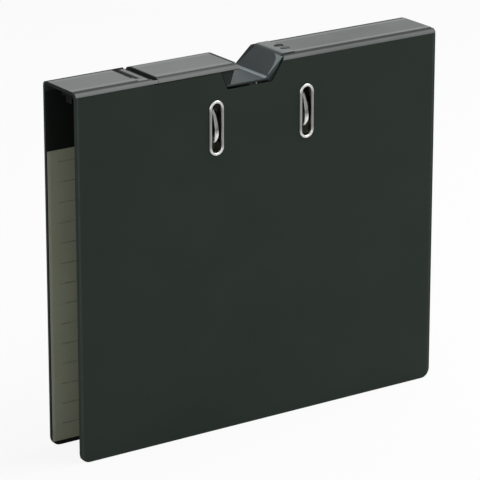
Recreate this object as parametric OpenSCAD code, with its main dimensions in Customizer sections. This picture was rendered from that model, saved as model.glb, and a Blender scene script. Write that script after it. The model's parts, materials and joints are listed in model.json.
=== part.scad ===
// Hanging lever arch file for A4 sheets, spine up, standing closed on the bottom edges of its covers.
// X runs along the spine, the front cover faces -Y, Z points up. All sizes are in millimetres.

/* [File] */
// Length of the spine and of both covers
file_l = 318; // [290:1:360]
// Height from the covers' bottom edges to the spine's top
file_h = 280; // [250:1:340]
// Width over the outer faces of the two covers
file_w = 44; // [42:1:80]
// Thickness of the covered board
board_t = 2.5; // [2:0.1:3]
// Radius of the covers' bottom corners
corner_r = 7.5; // [3:0.5:20]
// Border between the edge of a cover and its lining paper
lining_border = 3.5; // [2:0.5:12]
// Thickness of the lining paper
lining_t = 0.4; // [0.2:0.1:0.6]
// Depth of the bare band above the lining paper
lining_drop = 62; // [40:1:120]
// Radius of the lining paper's corners
lining_corner_r = 4; // [1:0.5:10]

/* [Spine and creases] */
// Outer radius of the bend along the top of each cover
bend_r = 3.5; // [3.2:0.1:5]
// How far the bend's crown lies below the spine's top
crown_drop = 0.5; // [0.3:0.1:1]
// Width of the crease between a cover and the spine
crease_w = 1.2; // [1:0.1:2]
// Depth of the crease below the bend's crown
crease_depth = 0.8; // [0.5:0.1:1.2]
// Thickness of the covering left in the crease
crease_t = 0.5; // [0.3:0.1:0.8]
// Gap between the covering in the crease and the cover's bend
crease_gap = 0.3; // [0.2:0.05:0.5]
// Depth of the covers' hinge lines below the spine's top
hinge_drop = 0.3; // [0:0.1:0.5]
// How far the front cover opens
cover_deg = 120; // [95:5:120]
// Rounding of the spine boards' upper edges
edge_r = 0.8; // [0.3:0.1:1.5]

/* [Grip recess] */
// Middle of the recess along the spine
recess_x = -10.5; // [-20:0.5:0]
// Width of the recess at its bottom
recess_w = 39; // [34:1:44]
// Slant of the recess's left side
recess_flare_l = 8; // [4:0.5:12]
// Slant of the recess's right side
recess_flare_r = 12; // [8:0.5:14]
// Depth of the covers' cut-out below the spine's top
recess_depth = 18; // [17:0.5:22]
// Radius of the recess's lower corners
recess_corner_r = 3; // [1:0.5:4]
// Depth of the grip trough's floor below the spine's top
floor_drop = 14.5; // [12:0.5:15]
// Wall thickness of the grip trough
trough_t = 1.8; // [1.2:0.1:2.2]
// Gap between the trough and the covers' cut-outs
trough_clear = 1.3; // [0.8:0.1:2]
// How far the trough's floor runs on under the flap, past the recess
trough_tuck = 5; // [4:0.5:6]
// Where the trough's floor turns up into its slope
slope_x = 4.5; // [0:0.5:8]
// Steepness of the trough's slope
slope_deg = 42; // [36:1:50]
// Radius that rolls the slope over onto the spine
roll_r = 6; // [4:0.5:8]
// Thickness of the trough's flange on the right spine board
flange_t = 0.8; // [0.5:0.1:1.2]
// Length of that flange
flange_l = 9; // [8:0.5:14]
// Length of the trough's tongue inside each rail
tongue_l = 12; // [8:1:20]
// How far the trough's edges lie inside the covers' outer faces
trough_inset = 1; // [0.5:0.1:2]
// Length of each snap head in the flange
clip_l = 3.2; // [2:0.1:4]
// Width of each snap head
clip_w = 2.2; // [1.5:0.1:3]
// Distance of the snap heads from the rolled edge
clip_out = 5.8; // [4:0.1:6]
// Distance between the two snap heads
clip_pitch = 8; // [6:0.5:12]
// Offset of the two snap heads from the spine's middle line
clip_mid = -1.2; // [-3:0.1:3]
// How far the snap heads lie below the flange's face
clip_sink = 0.4; // [0.2:0.1:0.6]

/* [Grip flap] */
// Free end of the flap, over the recess
flap_end = -20; // [-24:0.5:-16]
// Length of the flap
flap_l = 69.5; // [60:0.5:76]
// Open slit at the flap's hinged end
slit_w = 4; // [3:0.5:6]
// Length of the sunk covering strip beside the slit
strip_l = 7; // [5:0.5:10]
// How far that strip lies below the spine's top
strip_drop = 1; // [0.5:0.1:1.5]
// Width of the open seam between the strip and the left spine board
seam_w = 3; // [1:0.5:4]
// Length of that seam from the back edge, where the strip runs on beside it
seam_l = 21; // [10:1:28]
// Gap between the flap and the trough below it, and between its rolled edges and a swinging cover
flap_clear = 0.3; // [0.2:0.1:0.6]

/* [Hooks and rails] */
// Width of the rail that carries a hook
rail_w = 20; // [18:1:24]
// Height of the rail
rail_h = 7; // [6:0.5:8]
// Wall thickness of the rail
rail_t = 1; // [0.8:0.1:1.2]
// Open width between the rail's lips
rail_gap = 10; // [8:0.5:12]
// Distance of a rail's outer end from the end of the spine
rail_inset = 8; // [4:1:16]
// Travel of a hook out of its rail
hook_travel = 26; // [18:1:30]
// Thickness of the hook strip
hook_t = 1.6; // [1.2:0.1:2]
// Length of the hook strip
hook_l = 72; // [66:1:80]
// Depth of the bent tongue that catches the filing rail
hook_drop = 5; // [4:0.5:8]
// Width of the bent tongue and of the thumb tab
hook_tab_w = 8; // [6:0.5:9]
// Clearance of a hook in its rail
hook_clear = 0.3; // [0.2:0.05:0.5]
// Play of a hook over the rail's lips
hook_play = 0.1; // [0.05:0.05:0.2]
// Radius of the stop pin
stop_r = 1.5; // [1:0.1:1.8]
// Distance of the stop pin from the outer end of the rail
stop_inset = 30; // [26:1:36]
// Depth of the stop pin in the spine board
stop_sink = 1.5; // [1:0.1:1.8]
// Radius of the stop pin's head
stop_head_r = 2.6; // [2.2:0.1:3]
// Thickness of the stop pin's head
stop_head_h = 0.8; // [0.6:0.1:1]

/* [Slots] */
// Distance between the two rings, as punched in the sheets
ring_pitch = 80; // [70:1:90]
// Depth of the slots' middle below the spine's top
slot_drop = 45; // [43:0.5:60]
// Clear length of a slot
slot_l = 37; // [36:0.5:42]
// Clear width of a slot
slot_w = 8; // [6.5:0.5:10]
// Width of the slot's rolled metal rim
rim_w = 2.4; // [1.6:0.1:3]
// Wall of the metal barrel inside the slot
rim_wall = 0.5; // [0.3:0.1:0.8]
// Thickness of the rim's flange on the cover's inner face
rim_flange_t = 0.5; // [0.3:0.1:0.8]
// Gap between that flange and the lining paper
rim_clear = 0.3; // [0.2:0.1:0.8]

/* [Lever arch mechanism] */
// Diameter of the arch wire
wire_d = 3.8; // [3:0.1:4]
// Height of the arch's outer line inside the front cover's outer face
arch_inset = 0.3; // [0:0.1:1.5]
// Bend of the arch beside the posts
arch_tip_r = 8; // [6:0.5:9]
// Bend of the arch on the spine side
arch_back_r = 26; // [24:0.5:27]
// Distance of the posts below the slots' middle
post_drop = 12; // [11:0.5:13]
// Diameter of the posts
post_d = 4; // [3.4:0.1:4.4]
// Height of the posts' tips over the base plate
post_h = 22; // [18:0.5:24]
// Joint gap between the arch's tips and the posts
tip_gap = 0.4; // [0.2:0.1:0.8]
// Bend at the corners of the arch wire
wire_bend_r = 3.5; // [3:0.1:4]
// Length of the crank in the middle of the arch wire
crank_l = 14.5; // [14:0.1:15.5]
// Half the width of the crank
crank_x = 12; // [11:0.5:14]
// Height of the arch's axle over the base plate
axle_h = 5.1; // [4.6:0.1:6]
// Thickness of the base plate
base_t = 1; // [0.8:0.1:1.5]
// Length of the base plate
base_l = 104; // [100:1:120]
// Reach of the base plate below the slots' middle
base_low = 24; // [20:1:30]
// Reach of the base plate above the slots' middle
base_high = 27; // [26:0.5:28]
// Running clearance of the axle, the lever and the roller on their pins
run_clear = 0.06; // [0.02:0.01:0.1]
// Radius of the base plate's corners
base_corner_r = 6; // [3:0.5:8]
// Wall of the knuckles around the arch's axle
knuckle_wall = 1.5; // [1.2:0.1:2]
// Inner end of each knuckle, from the middle of the axle
knuckle_in = 20; // [18:0.5:22]
// Outer end of each knuckle, from the middle of the axle
knuckle_out = 33; // [30:0.5:34]
// Radius of the collar at the foot of a post
collar_r = 3.6; // [3:0.1:4]
// Height of that collar
collar_h = 1; // [0.6:0.1:1.5]

/* [Rivets] */
// Radius of the rivets' shanks
rivet_r = 1.6; // [1.2:0.1:2]
// Radius of the domed heads on the back cover
rivet_head_r = 4.2; // [3.5:0.1:5]
// Height of the domed heads
rivet_head_h = 1.6; // [1.2:0.1:2]
// Radius of the flat heads on the base plate
rivet_flat_r = 2.9; // [2.5:0.1:3.5]
// Thickness of the flat heads
rivet_flat_h = 0.8; // [0.5:0.1:1]
// Distance of the rivets from the ends of the base plate
rivet_side = 6; // [5:0.5:7]
// Distance of the lower rivets from the plate's lower edge
rivet_low = 5.5; // [5:0.5:7]
// Distance of the upper rivets from the plate's upper edge
rivet_high = 5; // [5:0.5:7]

/* [Lever and compressor] */
// Lever pivot towards the sheets, measured from the arch's axle
pivot_drop = 6.5; // [6:0.1:7]
// Lever pivot away from the base plate, measured from the arch's axle
pivot_out = 5; // [4.6:0.1:5.4]
// Width of the lever
lever_w = 12; // [10:0.5:13]
// Thickness of the lever's sheet
lever_t = 1.6; // [1.2:0.1:2]
// Length of the lever from pivot to tip
lever_l = 46; // [40:1:48]
// Gap between the closed lever's cap and the front cover's lining
lever_clear = 1.3; // [1:0.1:4]
// Distance of the roller from the lever's pivot
roller_out = 6.5; // [6.3:0.1:6.7]
// Slant of the roller's arms towards the base plate
roller_deg = 5; // [4:0.5:6]
// Radius of the roller
roller_r = 2.6; // [2:0.1:2.7]
// Length of the roller
roller_w = 6; // [5:0.5:7]
// Radius of the roller's pin
roller_pin_r = 1; // [0.8:0.1:1.2]
// Height and overhang of the heads on the roller's pin
roller_head = 0.6; // [0.4:0.1:0.8]
// Gap between the roller and an arm
arm_gap = 0.4; // [0.3:0.1:0.6]
// Thickness of an arm
arm_t = 1; // [0.8:0.1:1.2]
// Wall of an arm around the roller's pin
arm_wall = 0.8; // [0.6:0.1:1]
// Radius of the lever's pivot pin
pivot_pin_r = 1.5; // [1.2:0.1:1.8]
// Radius of the lever's barrel around that pin
barrel_r = 3; // [2.6:0.1:3.2]
// Radius of the ears that carry the pin
ear_r = 3.4; // [3:0.1:3.8]
// Thickness of an ear
ear_t = 1.2; // [1:0.1:1.5]
// Gap between an ear and the lever
ear_gap = 0.6; // [0.3:0.1:1]
// Radius of the pivot pin's heads
pin_head_r = 2.4; // [2:0.1:3]
// Thickness of the pivot pin's heads
pin_head_h = 1.2; // [0.8:0.1:1.5]
// Thickness of the ribs along the lever's edges
rib_t = 1; // [0.8:0.1:1.4]
// Height of the ribs
rib_h = 3; // [2.4:0.1:3.4]
// Gap between the ribs and the finger cap
rib_gap = 2; // [1:0.5:4]
// Length of the finger cap
cap_l = 15; // [12:0.5:18]
// Width of the finger cap
cap_w = 17; // [15:0.5:20]
// Thickness of the finger cap
cap_t = 4.6; // [4.4:0.1:6]
// Rounding of the finger cap
cap_corner_r = 2; // [1:0.1:2.1]
// How far the finger cap reaches past the lever's end
cap_over = 2; // [1:0.5:3]
// Width of the compressor bar
press_w = 10; // [8:0.5:12]
// Thickness of the compressor bar
press_t = 1.2; // [1:0.1:1.6]
// Reach of the compressor bar past the ends of the base plate
press_over = 2; // [0:0.5:8]
// Height of the compressor bar's lip
press_lip = 2.6; // [1.5:0.1:3]
// Clearance of the compressor bar around the posts and over their collars
press_clear = 0.3; // [0.2:0.1:0.5]

/* [Hidden] */
$fn = 48;

eps = 0.01;
past = 5;
half_l = file_l / 2;
half_w = file_w / 2;
inner_y = half_w - board_t;
spine_y = half_w - bend_r - crease_w;
bend_z = file_h - crown_drop - bend_r;
under_z = file_h - board_t;

// A cover turns about its crease. The step on its board passes under the closed flap's rolled edge, and
// when the cover is fully open it also stays outside the lifted flap
hinge_y = spine_y + crease_w / 2;
hinge_z = file_h - hinge_drop;
hinge_out = half_w - hinge_y;
swing_r = norm([hinge_out, hinge_z - bend_z]) + flap_clear;
pass_drop = sqrt(pow(swing_r, 2) - pow(inner_y - hinge_y, 2));
open_drop = (hinge_out * (1 - cos(cover_deg)) + flap_clear) / sin(cover_deg);
step_z = hinge_z - max(pass_drop, open_drop);

// Recess and flap
recess_l = recess_x - recess_w / 2;
recess_r = recess_x + recess_w / 2;
recess_top_l = recess_l - recess_flare_l;
recess_top_r = recess_r + recess_flare_r;
floor_z = file_h - floor_drop;
trough_l = recess_l - trough_tuck;
trough_y = half_w - trough_inset;
roll_z = file_h + flange_t - roll_r;
slope_end_z = roll_z + roll_r * cos(slope_deg);
slope_end_x = slope_x + (slope_end_z - floor_z) / tan(slope_deg);
roll_x = slope_end_x + roll_r * sin(slope_deg);
flap_x = flap_end - flap_l;
slit_x = flap_x - slit_w;
strip_x = slit_x - strip_l;
clip_x = roll_x + clip_out;
clip_y = [clip_mid - clip_pitch / 2, clip_mid + clip_pitch / 2];

// Rails and hooks
rail_z = under_z - rail_h;
lip_w = (rail_w - rail_gap) / 2;
cavity_w = rail_w - 2 * rail_t;
rail_out = half_l - rail_inset;
hook_z = rail_z + rail_t + hook_play;
stop_x = rail_out - stop_inset;
stop_z = hook_z - hook_clear;

// Slots and ring line
ring_x = ring_pitch / 2;
slot_z = file_h - slot_drop;
slot_r = slot_w / 2;
slot_run = slot_l - slot_w;

// Mechanism, from the base plate's face outwards
base_y = inner_y - lining_t;
face_y = base_y - base_t;
wire_r = wire_d / 2;
post_r = post_d / 2;
post_z = slot_z - post_drop;
tip_y = face_y - post_h;
apex_y = -half_w + arch_inset;
arch_z = post_z + arch_tip_r;
axle_z = arch_z + arch_back_r;
axle_y = face_y - axle_h;
bar_z = axle_z - crank_l;
knuckle_r = wire_r + knuckle_wall;
pivot_y = axle_y - pivot_out;
pivot_z = axle_z - pivot_drop;
ear_x = lever_w / 2 + ear_gap;

// The closed lever slants until its cap is lever_clear away from the front lining
cap_out = barrel_r - lever_t / 2 + cap_t / 2 - cap_corner_r;
cap_end = lever_l + cap_over - cap_corner_r;
cap_room = pivot_y + inner_y - lining_t - lever_clear - cap_corner_r;
lever_deg = asin(cap_room / norm([cap_out, cap_end])) - atan2(cap_out, cap_end);

arm_x = roller_w / 2 + arm_gap;
rivet_x = base_l / 2 - rivet_side;
rivet_z = [slot_z - base_low + rivet_low, slot_z + base_high - rivet_high];
press_hole_r = post_r + press_clear;
press_x = base_l / 2 + press_over;
press_y = face_y - collar_h - press_clear;

board_colour = "#2b302d";
spine_colour = "#747876";
paper_colour = "#50503f";
trough_colour = "#5f676c";
steel_colour = "#c9cbcc";
rail_colour = "#1d1f20";

// Draws a (Y, Z) section along X
module along_x(x0, x1) {
    translate([x0, 0, 0]) rotate([90, 0, 90]) linear_extrude(x1 - x0) children();
}

// Draws an (X, Z) outline along Y
module along_y(y0, y1) {
    translate([0, y1, 0]) rotate([90, 0, 0]) linear_extrude(y1 - y0) children();
}

// A round bar along X or along Y
module bar_x(r, x0, x1, y, z) {
    translate([x0, y, z]) rotate([0, 90, 0]) cylinder(r = r, h = x1 - x0);
}

module bar_y(r, y0, y1, x, z) {
    translate([x, y1, z]) rotate([90, 0, 0]) cylinder(r = r, h = y1 - y0);
}

module both_sides() {
    children();
    mirror([1, 0, 0]) children();
}

// A box outline with four round corners
module round_box(x0, z0, x1, z1, r) {
    translate([x0 + r, z0]) square([x1 - x0 - 2 * r, z1 - z0]);
    translate([x0, z0 + r]) square([x1 - x0, z1 - z0 - 2 * r]);
    for (x = [x0 + r, x1 - r], z = [z0 + r, z1 - r]) translate([x, z]) circle(r);
}

// An oblong outline that stands upright
module oblong(run, r) {
    square([2 * r, run], center = true);
    for (s = [-1, 1]) translate([0, s * run / 2]) circle(r);
}

// The covers' cut-out, drawn in by a gap on every side
module recess_outline(gap = 0) {
    r = recess_corner_r;
    low = file_h - recess_depth + gap;
    rise = recess_depth + past - gap;
    lean_l = atan(recess_flare_l / recess_depth);
    lean_r = atan(recess_flare_r / recess_depth);
    left = recess_l + gap - gap * tan(lean_l);
    right = recess_r - gap + gap * tan(lean_r);
    mid_l = left + r * (1 - sin(lean_l)) / cos(lean_l);
    mid_r = right - r * (1 - sin(lean_r)) / cos(lean_r);
    polygon([
        [mid_l, low], [mid_r, low],
        [mid_r + r * cos(lean_r), low + r - r * sin(lean_r)],
        [right + rise * tan(lean_r), low + rise],
        [left - rise * tan(lean_l), low + rise],
        [mid_l - r * cos(lean_l), low + r - r * sin(lean_l)]
    ]);
    for (x = [mid_l, mid_r]) translate([x, low + r]) circle(r);
}

// A cover's board, up to the step that its rolled edges stand on
module cover_outline() {
    difference() {
        union() {
            translate([-half_l, corner_r]) square([file_l, step_z - corner_r]);
            translate([corner_r - half_l, 0]) square([file_l - 2 * corner_r, step_z]);
            for (s = [-1, 1]) translate([s * (half_l - corner_r), corner_r]) circle(corner_r);
        }
        recess_outline();
    }
}

// Quarter-round edge that turns from the front towards the spine
module bend_section() {
    translate([bend_r - half_w, bend_z]) intersection() {
        difference() {
            circle(bend_r);
            circle(bend_r - board_t);
        }
        translate([-bend_r, 0]) square(bend_r);
    }
}

module edge_section() {
    translate([-half_w, step_z]) square([board_t, bend_z - step_z + eps]);
    bend_section();
}

module cover_board() {
    along_y(-half_w, -inner_y) cover_outline();
}

// Rolled edges on a board, left of the flap and right of the recess
module rolled_edges() {
    along_x(-half_l, slit_x) edge_section();
    difference() {
        along_x(recess_r, half_l) edge_section();
        along_y(-half_w - past, past) recess_outline();
    }
}

module front_edges() {
    color(spine_colour) rolled_edges();
}

module back_edges() {
    color(spine_colour) mirror([0, 1, 0]) rolled_edges();
}

module slot_cuts(r) {
    for (s = [-1, 1]) translate([s * ring_x, slot_z]) oblong(slot_run, r);
}

module front_cover() {
    color(board_colour) difference() {
        cover_board();
        along_y(-half_w - past, past - inner_y) slot_cuts(slot_r + rim_wall + run_clear);
    }
}

module back_cover() {
    color(board_colour) difference() {
        mirror([0, 1, 0]) cover_board();
        rivet_holes(rivet_r + run_clear);
    }
}

module lining_outline() {
    side = half_l - lining_border;
    round_box(-side, lining_border, side, file_h - lining_drop, lining_corner_r);
}

module front_lining() {
    color(paper_colour) along_y(-inner_y, lining_t - inner_y) difference() {
        lining_outline();
        slot_cuts(slot_r + rim_w + rim_clear);
    }
}

module back_lining() {
    color(paper_colour) difference() {
        along_y(inner_y - lining_t, inner_y) lining_outline();
        rivet_holes(rivet_r + run_clear);
    }
}

// Rolled rim, barrel and turned-over flange of a slot, from its inner edge outwards
module rim_section() {
    translate([slot_r, 0]) {
        intersection() {
            translate([rim_w / 2, 0]) circle(rim_w / 2);
            square([rim_w, rim_w]);
        }
        translate([0, -board_t]) square([rim_wall, board_t + eps]);
        translate([0, -board_t - rim_flange_t]) square([rim_w, rim_flange_t]);
    }
}

module slot_rim() {
    both_sides() rotate([90, 0, 0]) linear_extrude(slot_run, center = true) rim_section();
    for (turn = [0, 180]) rotate(turn) translate([0, slot_run / 2, 0]) {
        rotate_extrude(angle = 180) rim_section();
    }
}

module slot_rims() {
    color(steel_colour) for (s = [-1, 1]) {
        translate([s * ring_x, -half_w, slot_z]) rotate([90, 0, 0]) slot_rim();
    }
}

// Flat board with rounded upper edges
module spine_section() {
    translate([-spine_y, under_z]) square([2 * spine_y, board_t - edge_r]);
    translate([edge_r - spine_y, under_z]) square([2 * (spine_y - edge_r), board_t]);
    for (s = [-1, 1]) translate([s * (spine_y - edge_r), file_h - edge_r]) circle(edge_r);
}

module stop_holes() {
    for (s = [-1, 1]) {
        translate([s * stop_x, 0, under_z - past]) {
            cylinder(r = stop_r + run_clear, h = past + stop_sink + eps);
        }
    }
}

module spine_left() {
    color(spine_colour) difference() {
        along_x(-half_l, strip_x - seam_w) spine_section();
        stop_holes();
    }
}

module spine_right() {
    color(spine_colour) difference() {
        along_x(roll_x, half_l) spine_section();
        stop_holes();
        clip_cuts();
    }
}

// Covering that dips between a cover's bend and the spine
module crease_section() {
    top = file_h - crown_drop - crease_depth;
    translate([bend_r - half_w + crease_gap, top - crease_t]) square([crease_w - crease_gap, crease_t]);
}

module creases() {
    along_x(-half_l, slit_x) crease_section();
    along_x(recess_top_r, half_l) crease_section();
}

module front_crease() {
    color(board_colour) creases();
}

module back_crease() {
    color(board_colour) mirror([0, 1, 0]) creases();
}

module flap_strip() {
    strip_t = board_t - strip_drop;
    color(spine_colour) {
        along_x(strip_x, slit_x) translate([-spine_y, under_z]) square([2 * spine_y, strip_t]);
        along_x(strip_x - seam_w, strip_x + eps) {
            translate([-spine_y, under_z]) square([2 * spine_y - seam_l, strip_t]);
        }
    }
}

// Spine board with a groove and a rolled edge along each side
module flap_section() {
    spine_section();
    groove_h = board_t - crown_drop - crease_depth;
    for (side = [0, 1]) mirror([side, 0]) {
        bend_section();
        translate([bend_r - half_w - eps, under_z]) square([crease_w + 2 * eps, groove_h]);
    }
}

module grip_flap() {
    color(spine_colour) along_x(flap_x, flap_end) flap_section();
}

// Floor, end wall, slope, rolled edge and flange of the grip trough
module trough_section() {
    translate([trough_l - trough_t, floor_z - trough_t]) square([slope_x - trough_l + trough_t, trough_t]);
    translate([trough_l - trough_t, floor_z - trough_t]) {
        square([trough_t, under_z - flap_clear - floor_z + trough_t]);
    }
    slope_run = (slope_end_z - floor_z) / sin(slope_deg);
    sector_r = roll_r + past;
    translate([slope_x, floor_z]) rotate(slope_deg) {
        translate([0, -trough_t]) square([slope_run + eps, trough_t]);
    }
    translate([slope_x, floor_z]) intersection() {
        circle(trough_t);
        translate([-trough_t, -trough_t]) square([2 * trough_t, trough_t]);
    }
    translate([roll_x, roll_z]) intersection() {
        difference() {
            circle(roll_r);
            circle(roll_r - trough_t);
        }
        polygon([
            [0, 0], [0, sector_r],
            [-sector_r * sin(slope_deg), sector_r],
            [-sector_r * sin(slope_deg), sector_r * cos(slope_deg)]
        ]);
    }
    translate([roll_x, file_h]) square([flange_l, flange_t]);
}

// Everything that stands open above the trough
module trough_space() {
    polygon([
        [trough_l, floor_z], [slope_x, floor_z], [slope_end_x, slope_end_z],
        [slope_end_x, file_h + past], [trough_l, file_h + past]
    ]);
}

// Tongues that plug into the two rails
module trough_tongues() {
    low = rail_z + rail_t + run_clear;
    high = under_z - rail_t - run_clear;
    half = cavity_w / 2 - run_clear;
    along_y(-half, half) {
        translate([trough_l - trough_t - tongue_l, low]) square([tongue_l + eps, high - low]);
        difference() {
            translate([slope_x, low]) square([roll_x + tongue_l - slope_x, high - low]);
            trough_space();
        }
    }
}

module clip_cuts() {
    for (y = clip_y) {
        translate([clip_x - clip_l / 2, y - clip_w / 2, under_z - past]) {
            cube([clip_l, clip_w, board_t + 2 * past]);
        }
    }
}

// The trough's full width in the covers' cut-outs, clear of the flap's rolled edges
module notch_outline() {
    low = bend_z - flap_clear;
    difference() {
        recess_outline(trough_clear);
        translate([flap_x, low]) square([flap_l + flap_clear, file_h + past - low]);
    }
}

module grip_trough() {
    color(trough_colour) difference() {
        union() {
            along_y(-spine_y, spine_y) trough_section();
            intersection() {
                along_y(-trough_y, trough_y) trough_section();
                along_y(-half_w, half_w) notch_outline();
            }
            trough_tongues();
        }
        clip_cuts();
    }
}

module trough_clips() {
    color(rail_colour) for (y = clip_y) {
        translate([clip_x - clip_l / 2, y - clip_w / 2, under_z]) {
            cube([clip_l, clip_w, board_t + flange_t - clip_sink]);
        }
    }
}

// Channel with inward lips, open below
module rail_section() {
    translate([-rail_w / 2, under_z - rail_t]) square([rail_w, rail_t]);
    for (s = [-1, 1]) {
        translate([s * (rail_w - rail_t) / 2 - rail_t / 2, rail_z]) square([rail_t, rail_h]);
        translate([s * (rail_w - lip_w) / 2 - lip_w / 2, rail_z]) square([lip_w, rail_t]);
    }
}

module left_rail() {
    color(rail_colour) difference() {
        along_x(-rail_out, trough_l - trough_t) rail_section();
        stop_holes();
    }
}

module right_rail() {
    color(rail_colour) difference() {
        along_x(roll_x, rail_out) rail_section();
        stop_holes();
    }
}

// Pins that hold the rails under the spine and stop the hooks
module hook_stops() {
    color(steel_colour) for (s = [-1, 1]) translate([s * stop_x, 0, 0]) {
        translate([0, 0, stop_z]) cylinder(r = stop_r, h = under_z + stop_sink - stop_z);
        translate([0, 0, stop_z - stop_head_h]) cylinder(r = stop_head_r, h = stop_head_h);
    }
}

// Right-hand hook: strip with a stop slot, a bent tongue and a thumb tab
module hook() {
    strip_half = cavity_w / 2 - hook_clear;
    slot_half = stop_r + hook_clear;
    difference() {
        translate([rail_out - hook_l, -strip_half, hook_z]) cube([hook_l, 2 * strip_half, hook_t]);
        translate([0, 0, hook_z - past]) linear_extrude(hook_t + 2 * past) {
            translate([stop_x - hook_travel, -slot_half]) square([hook_travel, 2 * slot_half]);
            for (x = [stop_x - hook_travel, stop_x]) translate([x, 0]) circle(slot_half);
        }
    }
    for (x = [rail_out - hook_t, rail_out - hook_l]) {
        translate([x, -hook_tab_w / 2, hook_z - hook_drop]) cube([hook_t, hook_tab_w, hook_drop + eps]);
    }
    for (s = [0, 1]) {
        bar_x(hook_tab_w / 4, rail_out - hook_l, rail_out - hook_l + hook_t,
            (s - 0.5) * hook_tab_w / 2, hook_z - hook_drop);
    }
}

module right_hook() {
    color(rail_colour) hook();
}

module left_hook() {
    color(rail_colour) mirror([1, 0, 0]) hook();
}

module rivet_holes(r) {
    for (s = [-1, 1], z = rivet_z) bar_y(r, face_y - past, half_w + past, s * rivet_x, z);
}

// Ear that carries one end of the lever's pin
module ear_outline() {
    translate([pivot_y, pivot_z]) circle(ear_r);
    polygon([
        [pivot_y, pivot_z - ear_r], [face_y + eps, pivot_z - ear_r],
        [face_y + eps, pivot_z + 2 * ear_r], [pivot_y, pivot_z + ear_r]
    ]);
}

module base_plate() {
    color(steel_colour) difference() {
        union() {
            along_y(face_y, base_y) {
                round_box(-base_l / 2, slot_z - base_low, base_l / 2, slot_z + base_high, base_corner_r);
            }
            both_sides() {
                bar_x(knuckle_r, knuckle_in, knuckle_out, axle_y, axle_z);
                along_x(knuckle_in, knuckle_out) {
                    translate([axle_y, axle_z - knuckle_r]) square([axle_h + eps, knuckle_r * 2]);
                }
                along_x(ear_x, ear_x + ear_t) ear_outline();
            }
        }
        bar_x(wire_r + run_clear, -base_l, base_l, axle_y, axle_z);
        bar_x(pivot_pin_r + run_clear, -base_l, base_l, pivot_y, pivot_z);
        rivet_holes(rivet_r + run_clear);
        for (s = [-1, 1]) bar_y(post_r + run_clear, face_y - eps, base_y + eps, s * ring_x, post_z);
    }
}

// Rivets with a domed head outside and a flat head on the base plate
module base_rivets() {
    dome_r = (rivet_head_r * rivet_head_r + rivet_head_h * rivet_head_h) / (2 * rivet_head_h);
    color(steel_colour) for (s = [-1, 1], z = rivet_z) {
        bar_y(rivet_r, face_y - rivet_flat_h, half_w + eps, s * rivet_x, z);
        bar_y(rivet_flat_r, face_y - rivet_flat_h, face_y, s * rivet_x, z);
        translate([s * rivet_x, half_w, z]) rotate([-90, 0, 0]) rotate_extrude() intersection() {
            translate([0, rivet_head_h - dome_r]) circle(dome_r);
            square([rivet_head_r, rivet_head_h]);
        }
    }
}

// Posts with a collar at the foot and a round tip
module posts() {
    color(steel_colour) for (s = [-1, 1]) {
        translate([s * ring_x, base_y, post_z]) rotate([90, 0, 0]) rotate_extrude() {
            square([post_r, base_t + post_h - post_r]);
            translate([0, base_t]) square([collar_r, collar_h]);
            translate([0, base_t + post_h - post_r]) intersection() {
                circle(post_r);
                square(post_r);
            }
        }
    }
}

module lever_pin() {
    color(steel_colour) {
        reach = ear_x + ear_t;
        bar_x(pivot_pin_r, -reach, reach, pivot_y, pivot_z);
        both_sides() bar_x(pin_head_r, reach, reach + pin_head_h, pivot_y, pivot_z);
    }
}

// A quarter bend of the arch wire, in the X-Y plane
module wire_bend(bend) {
    rotate_extrude(angle = 90) translate([bend, 0]) circle(wire_r);
}

// One ring of the arch, from its tip over the posts to its axle
module arch_ring() {
    low_y = apex_y + arch_tip_r;
    back_y = apex_y + arch_back_r;
    bar_y(wire_r, low_y, tip_y - tip_gap, ring_x, post_z);
    translate([ring_x, low_y, arch_z]) rotate([90, 0, 90]) rotate(180) wire_bend(arch_tip_r);
    translate([ring_x, back_y, arch_z]) rotate([90, 0, 90]) rotate(90) wire_bend(arch_back_r);
    bar_y(wire_r, back_y, axle_y - wire_bend_r, ring_x, axle_z);
    translate([ring_x - wire_bend_r, axle_y - wire_bend_r, axle_z]) wire_bend(wire_bend_r);
    bar_x(wire_r, crank_x + wire_bend_r, ring_x - wire_bend_r, axle_y, axle_z);
}

// One side of the crank that the lever's roller holds
module arch_crank() {
    translate([crank_x + wire_bend_r, axle_y, axle_z - wire_bend_r]) {
        rotate([90, 0, 0]) rotate(90) wire_bend(wire_bend_r);
    }
    translate([crank_x, axle_y, bar_z + wire_bend_r]) cylinder(r = wire_r, h = crank_l - 2 * wire_bend_r);
    translate([crank_x - wire_bend_r, axle_y, bar_z + wire_bend_r]) {
        rotate([90, 0, 0]) rotate(270) wire_bend(wire_bend_r);
    }
}

module arch() {
    color(steel_colour) {
        both_sides() {
            arch_ring();
            arch_crank();
        }
        bar_x(wire_r, wire_bend_r - crank_x, crank_x - wire_bend_r, axle_y, bar_z);
    }
}

// Places an outline in the lever's own directions: out from its face, and up along its arm
module on_lever(x0, x1) {
    along_x(x0, x1) translate([pivot_y, pivot_z]) rotate(-lever_deg) children();
}

// Arm from the pivot to the roller
module arm_outline() {
    half = roller_pin_r + arm_wall;
    rotate(lever_deg + roller_deg) {
        translate([-half, -roller_out]) square([2 * half, roller_out]);
        translate([0, -roller_out]) circle(half);
    }
}

module lever() {
    color(steel_colour) difference() {
        union() {
            on_lever(-lever_w / 2, lever_w / 2) {
                circle(barrel_r);
                translate([-barrel_r, -lever_l]) square([lever_t, lever_l]);
            }
            both_sides() {
                on_lever(lever_w / 2 - rib_t, lever_w / 2) {
                    translate([-barrel_r, cap_l + rib_gap - lever_l]) {
                        square([rib_h, lever_l - cap_l - rib_gap]);
                    }
                }
                on_lever(arm_x, arm_x + arm_t) arm_outline();
            }
        }
        bar_x(pivot_pin_r + run_clear, -lever_w, lever_w, pivot_y, pivot_z);
        at_roller() bar_x(roller_pin_r + run_clear, -lever_w, lever_w, 0, 0);
    }
}

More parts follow.
